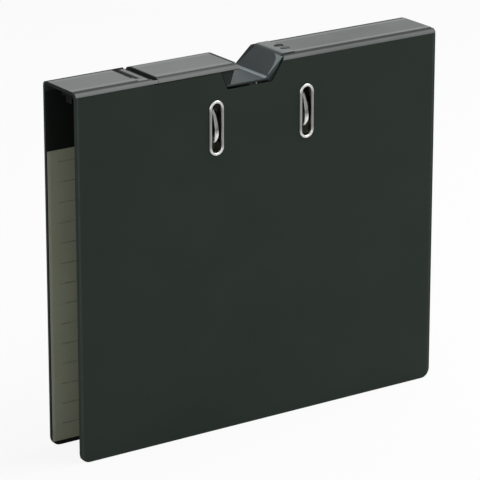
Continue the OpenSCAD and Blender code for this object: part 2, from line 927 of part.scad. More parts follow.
// Moulded finger cap on the lever's end
module lever_cap() {
    mid = lever_t / 2 - barrel_r;
    color(rail_colour) difference() {
        on_lever(-cap_w / 2, cap_w / 2) {
            round_box(mid - cap_t / 2, -lever_l - cap_over, mid + cap_t / 2, cap_l - lever_l, cap_corner_r);
        }
        on_lever(-lever_w / 2 - run_clear, lever_w / 2 + run_clear) {
            translate([-barrel_r - run_clear, -lever_l - run_clear]) {
                square([lever_t + 2 * run_clear, lever_l]);
            }
        }
    }
}

module at_roller() {
    out = roller_out * sin(roller_deg);
    down = roller_out * cos(roller_deg);
    translate([0, pivot_y + out, pivot_z - down]) children();
}

module roller() {
    color(steel_colour) at_roller() difference() {
        bar_x(roller_r, -roller_w / 2, roller_w / 2, 0, 0);
        bar_x(roller_pin_r + run_clear, -roller_w, roller_w, 0, 0);
    }
}

module roller_pin() {
    reach = arm_x + arm_t;
    color(steel_colour) at_roller() {
        bar_x(roller_pin_r, -reach, reach, 0, 0);
        both_sides() bar_x(roller_pin_r + roller_head, reach, reach + roller_head, 0, 0);
    }
}

// Bar that slides along the posts and holds the sheets down
module compressor_bar() {
    low = post_z - press_w / 2;
    color(steel_colour) {
        difference() {
            along_y(press_y - press_t, press_y) {
                round_box(-press_x, low, press_x, low + press_w, press_w / 2 - eps);
            }
            for (s = [-1, 1]) bar_y(press_hole_r, press_y - past, press_y + past, s * ring_x, post_z);
        }
        along_y(press_y - press_t - press_lip, press_y - press_t + eps) {
            translate([press_w / 2 - press_x, low]) square([2 * press_x - press_w, press_t]);
        }
    }
}

front_cover();
front_edges();
front_lining();
slot_rims();
back_cover();
back_edges();
back_lining();
spine_left();
spine_right();
front_crease();
back_crease();
flap_strip();
grip_trough();
trough_clips();
left_rail();
right_rail();
hook_stops();
left_hook();
right_hook();
grip_flap();
base_plate();
base_rivets();
posts();
lever_pin();
arch();
lever();
lever_cap();
roller();
roller_pin();
compressor_bar();
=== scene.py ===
# %% [markdown]
# # A hanging lever arch file
# The file stands closed on the bottom edges of its covers, spine up. Its rigid pieces come from the
# packed frame. This lesson rounds their edges, adds the coverings that a bookbinder would glue on, and
# gives every surface a finish made of shader nodes.

# %% Load the frame
import json
import math

import bmesh
import bpy
from mathutils import Matrix, Vector


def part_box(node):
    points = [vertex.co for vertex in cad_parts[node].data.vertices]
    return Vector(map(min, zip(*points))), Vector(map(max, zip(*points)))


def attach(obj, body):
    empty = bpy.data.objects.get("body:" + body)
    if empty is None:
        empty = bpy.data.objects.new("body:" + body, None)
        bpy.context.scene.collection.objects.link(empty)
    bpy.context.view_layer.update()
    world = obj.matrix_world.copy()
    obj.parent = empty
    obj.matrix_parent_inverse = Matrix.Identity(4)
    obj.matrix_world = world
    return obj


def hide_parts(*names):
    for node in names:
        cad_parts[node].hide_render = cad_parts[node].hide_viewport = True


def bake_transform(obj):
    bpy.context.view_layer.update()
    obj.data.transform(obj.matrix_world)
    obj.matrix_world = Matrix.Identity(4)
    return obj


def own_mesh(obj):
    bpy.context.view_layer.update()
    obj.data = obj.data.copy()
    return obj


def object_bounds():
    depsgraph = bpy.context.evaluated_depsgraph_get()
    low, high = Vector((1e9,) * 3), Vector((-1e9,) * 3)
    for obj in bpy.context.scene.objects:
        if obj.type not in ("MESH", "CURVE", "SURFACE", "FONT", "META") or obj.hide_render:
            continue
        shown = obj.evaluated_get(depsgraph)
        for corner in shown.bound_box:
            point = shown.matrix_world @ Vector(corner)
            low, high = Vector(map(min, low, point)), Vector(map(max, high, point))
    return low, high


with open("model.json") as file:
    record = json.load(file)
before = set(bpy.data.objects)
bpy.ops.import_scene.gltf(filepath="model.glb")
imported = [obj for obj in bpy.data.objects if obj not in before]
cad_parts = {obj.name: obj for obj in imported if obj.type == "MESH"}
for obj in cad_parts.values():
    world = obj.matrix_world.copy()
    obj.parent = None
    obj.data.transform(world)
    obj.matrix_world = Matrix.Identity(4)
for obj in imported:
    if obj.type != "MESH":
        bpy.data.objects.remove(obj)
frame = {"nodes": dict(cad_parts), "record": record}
cad_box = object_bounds()
scene = bpy.context.scene
MM = 0.001

# %% [markdown]
# ## Measures
# The coverings of a file follow its boards, so most places are read from the boxes of the frame's own
# pieces. A box doesn't hold everything: the radius of the bend along a cover's top, and the angle at which
# the cloth on it ends, are written down here. A hair is the small gap or lap between two surfaces.

# %% Boxes and a few sizes
cover_low, cover_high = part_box("front_cover")
edge_low, edge_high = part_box("front_edges")
spine_low, spine_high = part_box("spine_right")
flap_low, flap_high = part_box("grip_flap")
strip_low, strip_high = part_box("flap_strip")
half_length = cover_high.x
inner_face, outer_face = -cover_high.y, -cover_low.y
bend_radius = 3.5 * MM
bend_z = edge_high.z - bend_radius
bend_y = -edge_low.y - bend_radius
edge_turn = math.radians(80)
cloth_end_z = bend_z + bend_radius * math.cos(edge_turn)
hair = 0.1 * MM
print("rolled edge up to", round(edge_high.z / MM, 2), "mm")
print("cloth on it down to", round(cloth_end_z / MM, 2), "mm")

# %% [markdown]
# ## Shader arithmetic
# A finish such as ruled paper is mostly arithmetic on a position. Math nodes could be placed and linked one
# by one, but an expression is easier to read. So `Signal` wraps an output socket, and `+`, `-`, `*`, `/`,
# `<` and `>` on signals add the Math nodes.


# %% Signals
class Signal:
    """An output socket in a node tree, with arithmetic that adds Math nodes."""

    def __init__(self, nodes, socket):
        self.nodes, self.socket = nodes, socket

    def math(self, operation, *values):
        return self.nodes.add("ShaderNodeMath", {"operation": operation}, dict(enumerate(values)))

    def __add__(self, other):
        return self.math("ADD", self, other)

    def __sub__(self, other):
        return self.math("SUBTRACT", self, other)

    def __rsub__(self, other):
        return self.math("SUBTRACT", other, self)

    def __mul__(self, other):
        return self.math("MULTIPLY", self, other)

    def __truediv__(self, other):
        return self.math("DIVIDE", self, other)

    def __rtruediv__(self, other):
        return self.math("DIVIDE", other, self)

    def __lt__(self, other):
        return self.math("LESS_THAN", self, other)

    def __gt__(self, other):
        return self.math("GREATER_THAN", self, other)

    def __abs__(self):
        return self.math("ABSOLUTE", self)

    def wave(self, half_period):
        return self.math("PINGPONG", self, half_period)

    def most(self, other):
        return self.math("MAXIMUM", self, other)

    __radd__ = __add__
    __rmul__ = __mul__


print("on a signal:", ", ".join(name.strip("_") for name, part in vars(Signal).items() if callable(part)))

# %% [markdown]
# ## Node trees and finishes
# `Nodes` holds a node tree, and its `add` makes any node: first its settings, then its sockets, each with a
# number, a colour or a signal. `Finish` is the tree of one material around a Principled shader. It has the
# patterns that the finishes below share: noise, pebbles, a ramp with two stops, a mix and a bump. They all
# read the object's own coordinates, so a pattern sits still on its piece.


# %% Node trees and finishes
class Nodes:
    """A node tree, with one method that adds any node."""

    def __init__(self, tree):
        self.tree = tree

    def add(self, kind, settings, sockets, output=0):
        node = self.tree.nodes.new(kind)
        for name, value in settings.items():
            if name == "stops":
                node.color_ramp.elements[0].position, node.color_ramp.elements[1].position = value
            else:
                setattr(node, name, value)
        for key, value in sockets.items():
            self.feed(node.inputs[key], value)
        return Signal(self, node.outputs[output])

    def feed(self, socket, value):
        if isinstance(value, Signal):
            self.tree.links.new(value.socket, socket)
        else:
            socket.default_value = value


class Finish(Nodes):
    """A material with one Principled shader, whose values are given by name."""

    def __init__(self, name, **constants):
        self.material = bpy.data.materials.new(name)
        self.material.use_nodes = True
        super().__init__(self.material.node_tree)
        self.shader = self.tree.nodes["Principled BSDF"]
        self.shade(**constants)
        self.place = self.add("ShaderNodeTexCoord", {}, {}, "Object")

    def shade(self, **values):
        for words, value in values.items():
            self.feed(self.shader.inputs[words.replace("_", " ")], value)

    def axes(self, names="XYZ"):
        return [self.add("ShaderNodeSeparateXYZ", {}, {0: self.place}, name) for name in names]

    def stretched(self, x, y, z):
        return self.add("ShaderNodeMapping", {}, {"Vector": self.place, "Scale": (x, y, z)})

    def noise(self, grain, detail=2.0, place=None):
        sockets = {"Vector": place or self.place, "Scale": 1 / grain, "Detail": detail}
        return self.add("ShaderNodeTexNoise", {}, sockets, "Fac")

    def pebbles(self, grain):
        return self.add("ShaderNodeTexVoronoi", {}, {"Vector": self.place, "Scale": 1 / grain}, "Distance")

    def steps(self, signal, low, high):
        return self.add("ShaderNodeValToRGB", {"stops": (low, high)}, {0: signal})

    def mix(self, mask, first, second):
        return self.add("ShaderNodeMix", {"data_type": "RGBA"}, {0: mask, 6: first, 7: second}, 2)

    def bump(self, height, depth, strength):
        sockets = {"Height": height, "Distance": depth, "Strength": strength}
        self.shade(Normal=self.add("ShaderNodeBump", {}, sockets, "Normal"))

    def finished(self):
        print(self.material.name, "with", len(self.tree.nodes), "nodes")
        return self


def grey(level, red=1.0, green=1.0, blue=1.0):
    return (level * red, level * green, level * blue, 1)


print("black and white as colours:", grey(0), grey(1))

# %% [markdown]
# ## Covered board
# The covers are greyboard wrapped in a fine matt paper, almost black with a green cast. Such a paper has a
# shallow pebbled emboss of about half a millimetre and slow changes of tone over a hand's width, and it
# rubs paler along its bottom edge. A pale band near each side edge is partly wear and partly a painted
# highlight. Inside the file it is dyed a deeper black. A picture could hold all this, but noise in the
# object's own coordinates stays sharp from any distance.

# %% Cover paper
green_cast = (0.8, 1.18, 0.94)
tone_size, wear_size, fleck_size, pebble_size = 55 * MM, 7 * MM, 0.9 * MM, 0.55 * MM
side_band_in, side_band_half, foot_rub_height = 1.6 * MM, 1.3 * MM, 1.4 * MM
emboss_depth = 0.05 * MM


def cover_paper():
    paper = Finish("cover_paper", Specular_IOR_Level=0.14)
    x, y, z = paper.axes()
    tone = paper.steps(paper.noise(tone_size, 4), 0.3, 0.72)
    fleck = paper.noise(fleck_size, 3)
    # Near each side edge the paper is paler: partly wear, partly a painted highlight.
    from_side = abs(abs(x) - (half_length - side_band_in))
    side_wear_and_highlight = paper.steps(1 - from_side / side_band_half, 0.1, 0.8)
    foot_rub = paper.steps(1 - z / foot_rub_height, 0.1, 1)
    wear = paper.steps(paper.noise(wear_size, 5), 0.2, 0.75)
    wear_and_highlight = (side_wear_and_highlight + foot_rub) * (0.15 + wear * 0.35)
    plain = paper.mix(tone, grey(0.02, *green_cast), grey(0.025, *green_cast))
    speckled = paper.mix(fleck * 0.35, plain, grey(0.033, 0.84, 1.14, 0.95))
    worn_and_highlit = paper.mix(wear_and_highlight, speckled, grey(0.075, 0.93, 1.05, 0.97))
    # The same near black is painted shade on the sheets in the flap's slit and its seam.
    inside = (abs(y) < inner_face + hair) * (z < cover_high.z) * 0.75
    paper.shade(Base_Color=paper.mix(inside, worn_and_highlit, grey(0.003)))
    paper.shade(Roughness=0.55 + fleck * 0.16)
    paper.bump(paper.pebbles(pebble_size) + fleck * 0.5, emboss_depth, 0.5)
    return paper.finished()


paper = cover_paper()

# %% [markdown]
# ## Spine cloth
# The spine and the rounded edges beside it wear a paler grey cloth. Cloth is two crossed sets of threads,
# far too many to model, so two triangle waves, one along and one across the spine, make the weave, and
# noise gives uneven threads. Painted light makes the cloth paler towards the left end, and a painted
# highlight runs along each edge of the spine. Painted shade darkens the creases, the flap's cut end and the
# cloth beside the flap's slit and seam. The cloth is also dark at the spine's cut ends and below the line
# on the flap's edges where the covers' paper takes over. Each of these is a mask made of comparisons, and
# the strongest mask wins.

# %% Cloth
thread, slub_scale, patch_size, weave_depth = 0.42 * MM, (90, 1500, 1500), 24 * MM, 0.05 * MM
faint_green, fainter_green = (0.97, 1.02, 1.0), (0.98, 1.01, 1.0)
left_light_start, left_light_length = 60 * MM, 120 * MM
edge_highlight_y, edge_highlight_half = 14.0 * MM, 2.6 * MM
fold_y, fold_half = 18.6 * MM, 2.6 * MM
cut_depth = 0.3 * MM
slit_shade_left, slit_shade_right = 0.9 * MM, 1.3 * MM
seam_width, seam_length = 3 * MM, 21 * MM
seam_start = spine_high.y - seam_length
seam_shade_left, seam_shade_right, seam_shade_front = 1.8 * MM, 2.6 * MM, 6.5 * MM


def spine_cloth(level):
    cloth = Finish("spine_cloth", Specular_IOR_Level=0.16)
    x, y, z = cloth.axes()
    weave = (x + z).wave(thread) * (y + z).wave(thread) / (thread * thread)
    tone = cloth.steps(cloth.noise(patch_size, 4), 0.3, 0.7)
    slub = cloth.noise(1.0, 2, cloth.stretched(*slub_scale))
    plain = cloth.mix(tone, grey(level * 0.9, *faint_green), grey(level * 1.1, *fainter_green))
    woven = cloth.mix(weave * 0.4 + slub * 0.2, plain, grey(level * 1.35, *fainter_green))
    # Painted light: the cloth is paler towards the left end.
    left_light = cloth.steps((left_light_start - x) / left_light_length, 0.0, 1.0) * 0.6
    left_lit = cloth.mix(left_light, woven, grey(level * 1.75, *faint_green))
    # Painted highlight along each edge of the spine.
    painted_highlight = cloth.steps(1 - abs(abs(y) - edge_highlight_y) / edge_highlight_half, 0.0, 1.0) * 0.45
    pale = cloth.mix(painted_highlight, left_lit, grey(level * 2.3, *faint_green))
    on_flap = (x > flap_low.x) * (x < flap_high.x)
    # Painted shade in the creases between the spine and the covers, fainter on the flap.
    fold = cloth.steps(1 - abs(abs(y) - fold_y) / fold_half, 0.05, 0.55) * (0.8 - on_flap * 0.3)
    border = (abs(y) > bend_y) * (z < cloth_end_z - hair / 2)
    spine_cut = abs(x) > half_length - cut_depth
    # Painted shade on the flap's cut end, beside the flap's slit and in the seam.
    flap_end_shade = (x > flap_low.x - hair) * (x < flap_low.x + cut_depth)
    slit = (x > strip_high.x - slit_shade_left) * (x < flap_low.x + slit_shade_right) * (abs(y) < fold_y)
    seam_end = strip_low.x + seam_width + seam_shade_right
    seam = (x > strip_low.x - seam_shade_left) * (x < seam_end) * (y > seam_start - seam_shade_front)
    dark = fold.most(border).most(spine_cut).most(flap_end_shade).most(slit).most(seam)
    cloth.shade(Base_Color=cloth.mix(dark, pale, grey(0.01, 0.95, 1.05, 1.0)))
    cloth.shade(Roughness=0.6 + slub * 0.18)
    cloth.bump(weave + slub * 0.4, weave_depth, 0.45)
    return cloth.finished()


cloth = spine_cloth(0.13)

# %% [markdown]
# ## Lining paper
# The inside of each cover is lined with olive-grey paper, with faint lines ruled across it for notes. Ink
# has no thickness, so the lines aren't modelled: a triangle wave over the height gives one every 15.5 mm,
# and noise makes the ink uneven. Short fibres show in the paper as fine, stretched noise, and the paper
# is paler along its left border.

# %% Lining
lining_low, lining_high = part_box("back_lining")
ruling, line_half, line_wobble, line_margin = 15.5 * MM, 0.5 * MM, 0.3 * MM, 6 * MM
wobble_size, ink_size, cloud_size = 30 * MM, 9 * MM, 40 * MM
border_out = 0.6 * MM
fibre_scale, fibre_depth = (700, 700, 260), 0.04 * MM


def lining_paper():
    paper = Finish("lining_paper", Specular_IOR_Level=0.2)
    x, z = paper.axes("XZ")
    from_line = paper.noise(wobble_size) * line_wobble + (lining_high.z - z).wave(ruling / 2)
    ink = paper.steps(paper.noise(ink_size, 3), 0.3, 0.6)
    ruled = (from_line < line_half) * (x > lining_low.x + line_margin) * ink
    # The paper is paler along its left border.
    border = (x < lining_low.x - border_out) * 0.35
    fibre = paper.noise(1.0, 3, paper.stretched(*fibre_scale))
    tone = paper.noise(cloud_size, 4)
    plain = paper.mix(tone, grey(0.275, 1.0, 1.05, 0.76), grey(0.33, 1.0, 1.05, 0.8))
    grained = paper.mix(fibre * 0.5, plain, grey(0.37, 1.0, 1.05, 0.82))
    bordered = paper.mix(border, grained, grey(0.5, 1.0, 1.0, 0.86))
    paper.shade(Base_Color=paper.mix(ruled * 0.75, bordered, grey(0.12, 1.0, 1.0, 0.8)))
    paper.shade(Roughness=0.72 + fibre * 0.16)
    paper.bump(fibre, fibre_depth, 0.4)
    return paper.finished()


lining = lining_paper()

# %% [markdown]
# ## Mouldings
# The grip trough is a blue-grey moulding with the fine spark texture of its mould. A highlight is painted
# on its top above the spine, and shade is painted below its floor. Its fillet has a painted highlight, its
# ribs and webs are painted almost black as shade, and one snap head is worn grey. The lever's cap is a
# black moulding too. They differ only in a few numbers, so one function makes them all.

# %% Plastics
trough_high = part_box("grip_trough")[1]
floor_top = 265.5 * MM
below_floor_top = floor_top - 0.9 * MM
spark_size, flow_size, spark_depth = 0.35 * MM, 16 * MM, 0.03 * MM
blue_grey, green_black, blue_black = (0.84, 1.02, 1.06), (0.85, 1.1, 1.0), (1.0, 1.0, 1.05)


def moulding(name, level, top_highlight_level, below_floor_level, tint, gloss, shine):
    plastic = Finish(name, Specular_IOR_Level=shine)
    [z] = plastic.axes("Z")
    spark = plastic.noise(spark_size, 3)
    flow = plastic.steps(plastic.noise(flow_size, 4), 0.3, 0.7)
    plain = plastic.mix(flow, grey(level * 0.9, *tint), grey(level * 1.08, *tint))
    sparked = plastic.mix(spark * 0.3, plain, grey(level * 1.3, *tint))
    # Painted highlight on the top above the spine.
    top_highlight = plastic.steps((z - spine_high.z) / (trough_high.z - spine_high.z), 0.3, 0.9)
    # Below the floor a level of its own: painted shade on the trough, a pale gate stub on the glossy plastic.
    below_floor_toned = plastic.mix(z < below_floor_top, sparked, grey(below_floor_level, *tint))
    plastic.shade(Base_Color=plastic.mix(top_highlight, below_floor_toned, grey(top_highlight_level, 0.96, 1.02, 1.01)))
    plastic.shade(Roughness=gloss + spark * 0.12)
    plastic.bump(spark, spark_depth, 0.5)
    return plastic.finished()


trough_plastic = moulding("trough_plastic", 0.056, 0.17, 0.01, blue_grey, 0.45, 0.16)
pale_glossy_plastic = moulding("pale_glossy_plastic", 0.2, 0.2, 0.3, blue_grey, 0.2, 0.5)
painted_shade_plastic = moulding("painted_shade_plastic", 0.02, 0.02, 0.02, green_black, 0.5, 0.12)
worn_plastic = moulding("worn_plastic", 0.07, 0.07, 0.07, green_black, 0.5, 0.12)
black_plastic = moulding("black_plastic", 0.014, 0.014, 0.014, blue_black, 0.34, 0.18)

# %% [markdown]
# ## Paint
# The rails and hooks are painted black. One flat black would look like a hole in the picture, and a sprayed
# coat is never flat, so noise gives it a slight orange peel and some dust.

# %% Paint
peel_size, dust_size, peel_depth = 1.1 * MM, 12 * MM, 0.05 * MM


def black_paint():
    paint = Finish("black_paint", Specular_IOR_Level=0.06)
    dust = paint.steps(paint.noise(dust_size, 5), 0.35, 0.75)
    paint.shade(Base_Color=paint.mix(dust, grey(0.004), grey(0.009, 1.0, 1.01, 1.03)))
    paint.shade(Roughness=0.42 + dust * 0.12)
    paint.bump(paint.noise(peel_size, 2), peel_depth, 0.4)
    return paint.finished()


paint = black_paint()

# %% [markdown]
# ## Nickel plating
# The mechanism is nickel plated: mirror metal with hairlines and a faint haze. Hairlines are long and thin,
# so noise is stretched for them. A highlight is painted round the rims' bends and at the foot of the arch's
# wire. Those could be pieces of their own, but the metal is one, so each finish takes a band of height that
# stays dull and is painted brighter outside it.

# %% Nickel
hairline_scale, haze_size, hairline_depth = (160, 2600, 2600), 9 * MM, 0.01 * MM
highlight_fade = 4 * MM
rim_low, rim_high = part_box("slot_rims")
rim_middle, rim_dull_half = (rim_low.z + rim_high.z) / 2, 13 * MM
wire_middle, wire_dull_half = 246 * MM, 12 * MM


def nickel_plate(name, dull, bright, dull_middle, dull_half):
    nickel = Finish(name, Metallic=1.0)
    [z] = nickel.axes("Z")
    hairline = nickel.noise(1.0, 2, nickel.stretched(*hairline_scale))
    haze = nickel.steps(nickel.noise(haze_size, 4), 0.3, 0.75)
    hazy = nickel.mix(haze, grey(dull * 1.1, 1.0, 1.0, 0.96), grey(dull * 0.9, 1.0, 1.0, 0.95))
    plain = nickel.mix(hairline * 0.25, hazy, grey(dull * 1.35))
    # Painted highlight outside the dull band of height.
    painted_highlight = nickel.steps((abs(z - dull_middle) - dull_half) / highlight_fade, 0.0, 1.0)
    nickel.shade(Base_Color=nickel.mix(painted_highlight, plain, grey(bright, 1.0, 1.0, 0.97)))
    nickel.shade(Roughness=0.14 + hairline * 0.1 + haze * 0.06)
    nickel.bump(hairline, hairline_depth, 0.25)
    return nickel.finished()


nickel = nickel_plate("nickel_plate", 0.45, 0.45, rim_middle, 0.0)
rim_nickel = nickel_plate("rim_nickel", 0.32, 0.68, rim_middle, rim_dull_half)
arch_nickel = nickel_plate("arch_nickel", 0.24, 0.85, wire_middle, wire_dull_half)

# %% [markdown]
# ## Finishing the frame's own pieces
# Turned and bent pieces, such as the wire arch, the rims and the pins, are right as they come. They could be
# copied and rebuilt, but nothing would be gained, so they keep their shape and take a finish. The record
# says which material slot each of them has, and only the rims and the arch have a finish of their own.

# %% Finish every node
slot_finish = {
    "cover_board": paper,
    "spine_board": cloth,
    "lining_paper": lining,
    "grip_plastic": trough_plastic,
    "black_plastic": black_plastic,
    "black_paint": paint,
    "nickel": nickel,
}
node_finish = {"slot_rims": rim_nickel, "arch": arch_nickel}
slot_of = {part["node"]: part["material_slot"] for part in frame["record"]["subparts"]}
body_of = {
    node: body for body, nodes in frame["record"]["behaviour"]["bodies"].items() for node in nodes
}
for node, piece in frame["nodes"].items():
    finish = node_finish.get(node, slot_finish[slot_of[node]])
    for holder in piece.material_slots:
        holder.material = finish.material
print("finished nodes:", len(frame["nodes"]), "in", len(slot_finish), "slots")

# %% [markdown]
# ## Tools for new pieces
# A new piece is a mesh that is smooth up to sharp corners and knows its material slot. A frame piece comes as
# loose triangles, so a copy of it is merged before anything else is done to it. A cover comes as a board and
# its rolled edges, and is one covered board to the eye, so a Boolean union joins those and no seam shows.

# %% Tools for new pieces
weld = 0.002 * MM
sharp_angle = math.radians(40)


def as_mesh(name, bm):
    mesh = bpy.data.meshes.new(name)
    bm.to_mesh(mesh)
    bm.free()
    return mesh


def new_piece(name, bm, finish):
    mesh = as_mesh(name, bm)
    piece = bpy.data.objects.new(name, mesh)
    scene.collection.objects.link(piece)
    mesh.materials.append(finish.material)
    for face in mesh.polygons:
        face.use_smooth = True
    mesh.set_sharp_from_angle(angle=sharp_angle)
    weights = piece.modifiers.new("even_shading", "WEIGHTED_NORMAL")
    weights.keep_sharp = True
    print(name, len(mesh.polygons), "faces")
    return piece


def merged(node):
    bm = bmesh.new()
    bm.from_mesh(frame["nodes"][node].data)
    bmesh.ops.remove_doubles(bm, verts=bm.verts, dist=weld)
    return bm


def united(nodes):
    holders = [bpy.data.objects.new(node + "_part", as_mesh(node + "_part", merged(node))) for node in nodes]
    for holder in holders:
        scene.collection.objects.link(holder)
    for other in holders[1:]:
        union = holders[0].modifiers.new("union", "BOOLEAN")
        union.operation = "UNION"
        union.object = other
    graph = bpy.context.evaluated_depsgraph_get()
    bm = bmesh.new()
    bm.from_mesh(bpy.data.meshes.new_from_object(holders[0].evaluated_get(graph)))
    for holder in holders:
        bpy.data.objects.remove(holder)
    return bm


print("triangles in the frame:", sum(len(piece.data.polygons) for piece in frame["nodes"].values()))

# %% [markdown]
# ## Rounded copies
# Boards, pressings and mouldings come with knife edges, which no real board or pressing has. A Bevel
# modifier could round them, but the edges of the loose triangles would get in its way. So each piece is
# copied and merged, flat faces are joined, the corners are rounded by a bevel, and the copy stands for the
# piece. Covered boards are the roundest.

# %% Rounded copies
flat_angle, corner_angle = math.radians(0.5), math.radians(35)


def round_off(bm, edges, radius, clamp=False):
    bmesh.ops.bevel(
        bm, geom=edges, offset=radius, segments=3, profile=0.5, affect="EDGES", material=-1,
        clamp_overlap=clamp,
    )


def eased_copy(nodes, radius):
    bm = united(nodes)
    bmesh.ops.remove_doubles(bm, verts=bm.verts, dist=weld)
    bmesh.ops.dissolve_limit(bm, angle_limit=flat_angle, verts=bm.verts, edges=bm.edges)
    corners = [e for e in bm.edges if len(e.link_faces) == 2 and e.calc_face_angle() > corner_angle]
    round_off(bm, corners, radius, clamp=True)
    slot = slot_of[nodes[0]]
    piece = new_piece(nodes[0] + "_eased", bm, slot_finish[slot])
    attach(piece, body_of[nodes[0]])
    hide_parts(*nodes)


rounding = {
    ("front_cover", "front_edges"): 0.7, ("back_cover", "back_edges"): 0.7, ("spine_left",): 0.3,
    ("spine_right",): 0.3, ("flap_strip",): 0.3, ("grip_flap",): 0.3, ("grip_trough",): 0.35,
    ("trough_clips",): 0.15, ("left_rail",): 0.2, ("right_rail",): 0.2, ("left_hook",): 0.25,
    ("right_hook",): 0.25, ("base_plate",): 0.2, ("lever",): 0.2, ("lever_cap",): 0.5,
    ("compressor_bar",): 0.2,
}
for nodes, radius in rounding.items():
    eased_copy(nodes, radius * MM)

# %% [markdown]
# ## Square, wide linings
# The lining sheets are trimmed square and run almost to the sides of the boards. New sheets could be cut,
# but the front one has openings for the slots. So each is a copy of the frame's sheet: its upper edge is
# moved up, and each round corner is merged into one sharp point farther out.

# %% Linings
corner_reach, edge_reach = 4.01 * MM, 0.01 * MM
lining_out, lining_up = 2.7 * MM, 9 * MM


def wide_lining(node):
    low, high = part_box(node)
    bm = merged(node)
    top = [v for v in bm.verts if v.co.z > high.z - edge_reach and abs(v.co.x) < high.x - corner_reach]
    bmesh.ops.translate(bm, verts=top, vec=(0, 0, lining_up))
    reach = Vector((corner_reach, hair, corner_reach))
    for x, out in ((low.x, -lining_out), (high.x, lining_out)):
        for z, up in ((low.z, 0), (high.z, lining_up)):
            for y in (low.y, high.y):
                corner = Vector((x, y, z))
                near = [v for v in bm.verts if all(abs(d) < r for d, r in zip(v.co - corner, reach))]
                bmesh.ops.pointmerge(bm, verts=near, merge_co=corner + Vector((out, 0, up)))
    bmesh.ops.recalc_face_normals(bm, faces=bm.faces)
    piece = new_piece(node + "_wide", bm, lining)
    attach(piece, body_of[node])
    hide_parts(node)


for node in ("front_lining", "back_lining"):
    wide_lining(node)

# %% [markdown]
# ## Cloth over the rounded edges
# The spine's cloth runs on over the rounded top edge of each cover and ends on it, which is the pale band
# along the file. A change of colour could show it, but a real thickness lets its lower border catch the
# light. It is a strip: one line along the edge's crown, spun through 80 degrees, given thickness, and cut
# off where the finger recess begins.

# %% Edge cloth
edge_cloth_t, edge_cloth_lift = 0.22 * MM, 0.03 * MM
recess_right, recess_right_lean = 21 * MM, 12 / 18
past_recess = 6 * MM


def cut_at_recess(bm, top_x, outward, lean):
    everything = [*bm.verts, *bm.edges, *bm.faces]
    cut = bmesh.ops.bisect_plane(
        bm, geom=everything, plane_co=(top_x, 0, spine_high.z), plane_no=(outward, 0, lean), clear_outer=True,
    )
    rim = [part for part in cut["geom_cut"] if isinstance(part, bmesh.types.BMEdge)]
    bmesh.ops.holes_fill(bm, edges=rim, sides=0)


def edge_cloth(side, start, end, first_turn=0.0):
    bm = bmesh.new()
    radius = bend_radius + edge_cloth_lift
    first_y = side * (bend_y + radius * math.sin(first_turn))
    first_z = bend_z + radius * math.cos(first_turn)
    ends = [bm.verts.new((x, first_y, first_z)) for x in (start, end)]
    line = bm.edges.new(ends)
    bmesh.ops.spin(
        bm, geom=[*ends, line], cent=(0, side * bend_y, bend_z), axis=(1, 0, 0),
        angle=-side * (edge_turn - first_turn), steps=10, use_merge=False, use_duplicate=False,
    )
    bmesh.ops.remove_doubles(bm, verts=bm.verts, dist=weld)
    bmesh.ops.recalc_face_normals(bm, faces=bm.faces)
    outward = sum((f.normal.y * side + f.normal.z for f in bm.faces), 0.0)
    if outward < 0:
        bmesh.ops.reverse_faces(bm, faces=bm.faces)
    bmesh.ops.solidify(bm, geom=bm.faces[:], thickness=-edge_cloth_t)
    bmesh.ops.recalc_face_normals(bm, faces=bm.faces)
    return bm


for side, body in ((-1, "front_cover"), (1, "back_cover")):
    left = edge_cloth(side, cover_low.x + hair, strip_high.x - hair)
    right = edge_cloth(side, recess_right - past_recess, cover_high.x - hair)
    cut_at_recess(right, recess_right, -1, recess_right_lean)
    for word, bm in (("left", left), ("right", right)):
        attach(new_piece(f"{body}_edge_cloth_{word}", bm, cloth), body)

# %% [markdown]
# ## A bridge over the slit
# In front, the lower half of the edge cloth runs on over the end of the flap's slit. It is the same strip
# again, started farther down the bend, and it goes with the front cover.

# %% Slit bridge
bridge_turn = math.radians(38)
bridge_strip = edge_cloth(-1, strip_high.x - hair, flap_low.x - 2 * hair, bridge_turn)
bridge = new_piece("slit_bridge", bridge_strip, cloth)
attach(bridge, "front_cover")
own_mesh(bridge)

# %% [markdown]
# ## Cloth in the creases
# Between the spine and each cover the cloth dips into a crease, and that is the hinge. It is a folded strip:
# one line that is extruded along the fold, corner by corner, and then given thickness.

# %% Crease cloth
crease_inner, crease_outer = spine_high.y - hair, bend_y + hair / 2
crease_floor = spine_high.z - 1.35 * MM
inner_lip_z, outer_lip_z = spine_high.z - 0.75 * MM, spine_high.z - 0.8 * MM
foot_in, foot_up = 0.25 * MM, 0.15 * MM
crease_cloth_t = 0.15 * MM


def folded_strip(fold, run, thickness):
    bm = bmesh.new()
    fold = [Vector(point) for point in fold]
    line = bm.edges.new([bm.verts.new(fold[0]), bm.verts.new(fold[0] + Vector(run))])
    for here, there in zip(fold, fold[1:]):
        drawn = bmesh.ops.extrude_edge_only(bm, edges=[line])["geom"]
        moved = [part for part in drawn if isinstance(part, bmesh.types.BMVert)]
        bmesh.ops.translate(bm, verts=moved, vec=there - here)
        line = next(edge for edge in bm.edges if set(edge.verts) == set(moved))
    bmesh.ops.recalc_face_normals(bm, faces=bm.faces)
    bmesh.ops.solidify(bm, geom=bm.faces[:], thickness=thickness)
    bmesh.ops.recalc_face_normals(bm, faces=bm.faces)
    return bm


def crease_cloth(side, start, end):
    dip = [
        (crease_inner, inner_lip_z),
        (crease_inner + foot_in, crease_floor + foot_up),
        ((crease_inner + crease_outer) / 2, crease_floor),
        (crease_outer - foot_in, crease_floor + foot_up),
        (crease_outer, outer_lip_z),
    ]
    return folded_strip([(start, side * y, z) for y, z in dip], (end - start, 0, 0), crease_cloth_t)


